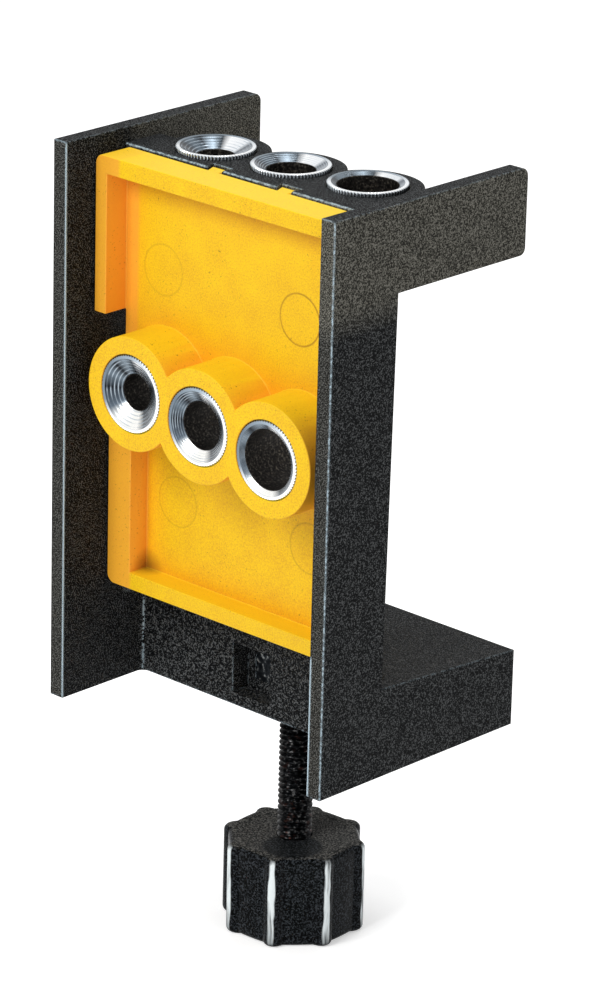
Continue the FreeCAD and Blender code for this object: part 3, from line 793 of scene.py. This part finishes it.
print("grid_mesh is ready")

# %% Points round an axis
def turned_points(radius, level, angles, centre, axis="z"):
    """Carry a profile round an axis.

    Point = centre + radius x (cos angle, sin angle) + level along the axis.
    The radius may change with the angle as well; for axis "-y" the level
    runs to the front.
    """
    level = level[:, None] * np.ones_like(angles)
    across = radius * np.cos(angles)
    over = radius * np.sin(angles)
    if axis == "z":
        shape = np.stack([across, over, level], axis=-1)
    else:
        shape = np.stack([across, -level, over], axis=-1)
    return (shape + np.array(centre)) * MM


def round_steps(count):
    """Angles for one full turn: step / count x a full turn."""
    return np.linspace(0, TURN, count, endpoint=False)


def rows(radii, angles):
    """For each radius a row that keeps it all the way round."""
    return np.repeat(np.array(radii)[:, None], angles.size, axis=1)


print("eight steps round, in degrees:", np.degrees(round_steps(8)))

# %% [markdown]
# ## The knob
# The knob is a fluted handle: eight narrow ridges stand out from nearly
# flat flutes, so fingers can turn it. Its outline is a radius for each
# angle, and the same outline is pulled in a little at both ends to round
# the edges.

# %% Knob outline
KNOB_RADIUS = 12.6    # over the ridges
FLUTE_RADIUS = 11.25  # in the middle of a flute
FLUTE_BEND = 0.8      # 1 is a flat flute, 0 is a round one
RIDGE_HALF = 1.9      # half the width of a ridge
RIDGE_POWER = 0.9


def knob_outline(angles):
    """Radius of the knob at each angle, in millimetres.

    Between two ridges the radius is a nearly flat flute: its middle radius /
    cos(bend x angle from its middle). A ridge adds a smooth hump: cos of a
    quarter turn x the distance from its middle / its half width, to a power.
    """
    step = TURN / RIDGES
    from_ridge = (angles - RIDGE_TURN + step / 2) % step - step / 2
    from_flute = step / 2 - np.abs(from_ridge)
    flute = FLUTE_RADIUS / np.cos(from_flute * FLUTE_BEND)
    reach = np.clip(np.abs(from_ridge) * KNOB_RADIUS / RIDGE_HALF, 0, 1)
    hump = np.cos(reach * TURN / 4) ** RIDGE_POWER
    return flute + (KNOB_RADIUS - flute) * hump


print("a flute is", round(KNOB_RADIUS - FLUTE_RADIUS, 2), "mm deep")

# %% Knob
KNOB_STEPS = 768
EDGE_STEPS = 7
KNOB_EDGE = 1.0       # the radius of both rounded edges
HEAD_LOW = 1.7        # the underside of the spindle's head
HEAD_HIGH = 5.7       # the top of the spindle's head
CAP_RADIUS = 8.1      # the recess for the cap
KNOB_INSIDE = np.array([   # radius and level: dish, hole and recess
    (9.6, KNOB_TALL), (9.0, KNOB_TALL - 0.15), (3.1, KNOB_TALL - 0.15),
    (3.1, HEAD_HIGH), (5.8, HEAD_HIGH), (5.8, HEAD_LOW),
    (CAP_RADIUS, HEAD_LOW)])


def knob_edges():
    """How far in and how high each ring of the knob's side lies.

    Quarter circles of the edge radius join the side to both ends.
    """
    quarter = np.linspace(0, TURN / 4, EDGE_STEPS)
    inward = KNOB_EDGE * (1 - np.cos(quarter))
    rise = KNOB_EDGE * (1 - np.sin(quarter))
    low = np.stack([inward[::-1], rise[::-1]], axis=1)
    high = np.stack([inward, KNOB_TALL - rise], axis=1)
    return np.concatenate([low, high])


knob_angles = round_steps(KNOB_STEPS)
knob_rings = knob_edges()
knob_radius = np.concatenate([
    rows([CAP_RADIUS, CAP_RADIUS], knob_angles),
    knob_outline(knob_angles)[None, :] - knob_rings[:, 0:1],
    rows(KNOB_INSIDE[:, 0], knob_angles)])
knob_level = np.concatenate(
    [[HEAD_LOW, 0.0], knob_rings[:, 1], KNOB_INSIDE[:, 1]])
knob_zones = np.concatenate([
    [0.0, 0.5], np.linspace(1.0, 1.4, EDGE_STEPS),
    np.linspace(2.6, 3.0, EDGE_STEPS), 4.0 + np.arange(len(KNOB_INSIDE))])
grid_mesh(
    "knob_fluted",
    turned_points(knob_radius, knob_level, knob_angles, AXIS), knob_zones,
    gloss, "spindle_body", "knob")

# %% [markdown]
# ## The spindle
# The spindle is a long M6 screw. A thread is a groove that climbs one pitch
# each turn, so the radius depends on height and angle together: the point
# rises as the angle grows, which makes a right hand thread.

# %% Thread
THREAD_RADIUS = 3.0
THREAD_DEPTH = 0.55
THREAD_PITCH = 1.0
THREAD_FLAT = 0.12    # share of the wave that is flat at crest and root
HEAD_FLATS = 10.0


def thread_radius(level, angles):
    """Radius of the screw at each height and angle, in millimetres.

    Phase = height / pitch - angle / full turn. The groove is a triangle wave
    of the phase, flattened a little at crest and root.
    """
    climb = level[:, None] / THREAD_PITCH
    phase = (climb - angles[None, :] / TURN) % 1.0
    wave = np.abs(phase - 0.5) * 2
    groove = np.clip((wave - THREAD_FLAT) / (1 - 2 * THREAD_FLAT), 0, 1)
    return THREAD_RADIUS - THREAD_DEPTH * groove


def hexagon_radius(flats, angles):
    """Radius of a hexagon: half its width / cos(angle from a flat's middle)."""
    from_flat = (angles - RIDGE_TURN) % (TURN / 6) - TURN / 12
    return (flats / 2 / np.cos(from_flat))[None, :]


print("the thread's root has a radius of", THREAD_RADIUS - THREAD_DEPTH, "mm")

# %% Spindle
COLLAR_LOW = 57.1
SPINDLE_TOP = np.array([   # radius and level: collar, neck, groove, hollow
    (THREAD_RADIUS, COLLAR_LOW), (5.0, COLLAR_LOW), (5.0, 58.3), (2.8, 58.3),
    (2.8, 62.1), (2.4, 62.1), (2.4, 62.8), (2.8, 62.8),
    (2.8, 63.3), (1.65, 63.3), (1.65, 40.0), (0.0, 40.0)])
spindle_angles = round_steps(48) + RIDGE_TURN
head = hexagon_radius(HEAD_FLATS, spindle_angles)
thread_level = np.arange(HEAD_HIGH, COLLAR_LOW, THREAD_PITCH / 10)
spindle_radius = np.concatenate([
    rows([0.0], spindle_angles), head, head, rows([2.4], spindle_angles),
    thread_radius(thread_level, spindle_angles),
    rows(SPINDLE_TOP[:, 0], spindle_angles)])
spindle_level = np.concatenate([
    [HEAD_LOW, HEAD_LOW, HEAD_HIGH, HEAD_HIGH],
    thread_level, SPINDLE_TOP[:, 1]])
grid_mesh(
    "spindle_threaded",
    turned_points(spindle_radius, spindle_level, spindle_angles, AXIS),
    np.arange(len(spindle_level)),
    oiled, "spindle_body", "spindle")

# %% [markdown]
# ## The bushings
# Each bushing is a hardened ring with a funnel mouth that leads the tool
# in. Its outside is knurled so that it grips its seat. The knurl is a fine
# wave of the radius round the ring, only on the outer wall.

# %% Bushings
BORES = {"6": 3.05, "8": 4.05, "10": 5.05}
KNURL_DEPTH = 0.14
STEPS_PER_TOOTH = 8
WALL_RADIUS = 6.7
FUNNEL_RADIUS = 6.0
FUNNEL_SLOPE = 1.6 / 3   # depth of the funnel over its width


def bushing(name, node, body, bore, length, centre, axis):
    """A knurled bushing whose mouth is at level 0.

    The profile runs up the bore, out along the funnel and the rim, over a
    small chamfer and down the outer wall. There the radius is lowered by the
    knurl: depth x (1 - |cos(teeth x angle / 2)|).
    """
    mouth = FUNNEL_SLOPE * (FUNNEL_RADIUS - bore)
    radius, level, knurled, zones = np.array([
        (bore, -length, 0, 0.0),
        (bore, -mouth - 0.1, 0, 0.94),
        (bore + 0.12, -mouth + 0.02, 0, 1.0),
        (5.95, -0.06, 0, 1.96),
        (6.15, 0.0, 0, 2.1),
        (6.5, 0.0, 0.6, 2.7),
        (WALL_RADIUS, -0.2, 1, 3.0),
        (WALL_RADIUS, -1.2, 1, 3.3),
        (WALL_RADIUS, -length, 1, 4.0),
        (bore, -length, 0, 5.0)]).T
    angles = round_steps(KNURL_TEETH * STEPS_PER_TOOTH)
    tooth = KNURL_DEPTH * (1 - np.abs(np.cos(KNURL_TEETH * angles / 2)))
    radius = radius[:, None] - knurled[:, None] * tooth[None, :]
    grid_mesh(
        name, turned_points(radius, level, angles, centre, axis), zones,
        zinc, body, node)


for size, bore in BORES.items():
    node = "top_bushing_" + size
    low, high = corners_of(node)
    middle = middle_of(node)
    bushing("block_bushing_" + size, node, "frame_body", bore,
            high.z - low.z, (middle.x, middle.y, high.z), "z")
    node = "front_bushing_" + size
    low, high = corners_of(node)
    middle = middle_of(node)
    bushing("carriage_bushing_" + size, node, "carriage_body", bore,
            high.y - low.y, (middle.x, low.y, middle.z), "-y")

# %% [markdown]
# ## The small pieces
# The other pieces are simple and keep their CAD shape. Assigning a finish
# to an object's slot changes its looks and leaves its mesh alone.

# %% Small pieces
def dress(nodes, finish):
    """Give CAD nodes a finish."""
    for node in nodes:
        for material_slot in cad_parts[node].material_slots:
            material_slot.material = finish.material
    print(finish.material.name, "on", ", ".join(nodes))


dress(["square_nut", "thrust_washer_lower", "thrust_washer_upper",
       "retaining_ring", "pressure_pad"], plated)
dress(["pad_screw"], oiled)
dress(["pad_facing"], rubber)
dress(["knob_cap"], gloss)

# %% [markdown]
# ## Floor and light
# A white floor runs far back, and the world behind it is white too, but
# only to the camera and to reflections. The light on the jig comes from a
# dim even world and three soft lamps, the strongest high in front. The
# floor glows a little to the camera, so that it is white outside the shadow.

# %% Floor
WHITE = (1.0, 1.0, 1.0, 1.0)
FLOOR_REACH = 3.0
FLOOR_GLOW = 0.42
floor_mesh = bpy.data.meshes.new("floor")
floor_mesh.from_pydata(
    [(-FLOOR_REACH, -FLOOR_REACH, 0), (FLOOR_REACH, -FLOOR_REACH, 0),
     (FLOOR_REACH, FLOOR_REACH, 0), (-FLOOR_REACH, FLOOR_REACH, 0)],
    [], [(0, 1, 2, 3)])
floor = add_object("floor", floor_mesh)
pale = Finish("pale floor")
pale.surface(Base_Color=(0.93, 0.93, 0.93, 1.0), Roughness=0.9)
plain = Wire(pale, pale.shader, "BSDF")
glow = pale.add("ShaderNodeEmission", "Emission", {}, {
    "Color": WHITE, "Strength": FLOOR_GLOW})
brighter = pale.add("ShaderNodeAddShader", "Shader", {}, {0: plain, 1: glow})
pale.show(plain, brighter, "Material Output")
floor_mesh.materials.append(pale.material)
floor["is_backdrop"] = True
print("the floor is", 2 * FLOOR_REACH, "m wide")

# %% World
WORLD_STRENGTH = 0.42
world = bpy.data.worlds.new("studio")
bpy.context.scene.world = world
sky = Tree(world)
backdrop = sky.add("ShaderNodeBackground", "Background", {}, {"Color": WHITE})
dim = sky.nodes["Background"]
sky.put(dim.inputs["Color"], WHITE)
sky.put(dim.inputs["Strength"], WORLD_STRENGTH)
sky.show(Wire(sky, dim, "Background"), backdrop, "World Output")
print("the world has", len(sky.nodes), "nodes")

# %% Lamps
HEART = (0, 0, 0.08)


def lamp(name, spot, size, power):
    """A square soft lamp at a spot in metres, facing the jig's heart."""
    data = bpy.data.lights.new(name, "AREA")
    data.size = size
    data.energy = power
    thing = add_object(name, data)
    thing.location = spot
    way = Vector(HEART) - Vector(spot)
    thing.rotation_euler = way.to_track_quat("-Z", "Y").to_euler()
    print(name, "at", spot, "power", power)


lamp("key", (-0.05, -0.85, 0.75), 0.45, 7.0)
lamp("side", (0.9, -0.25, 0.35), 0.4, 0.7)
lamp("top", (0.05, 0.25, 1.0), 0.5, 3.0)
bpy.context.scene.view_settings.view_transform = "Standard"

# %% Size and finish
low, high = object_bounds()
print("size in mm:", [round((b - a) * 1000, 2) for a, b in zip(low, high)])
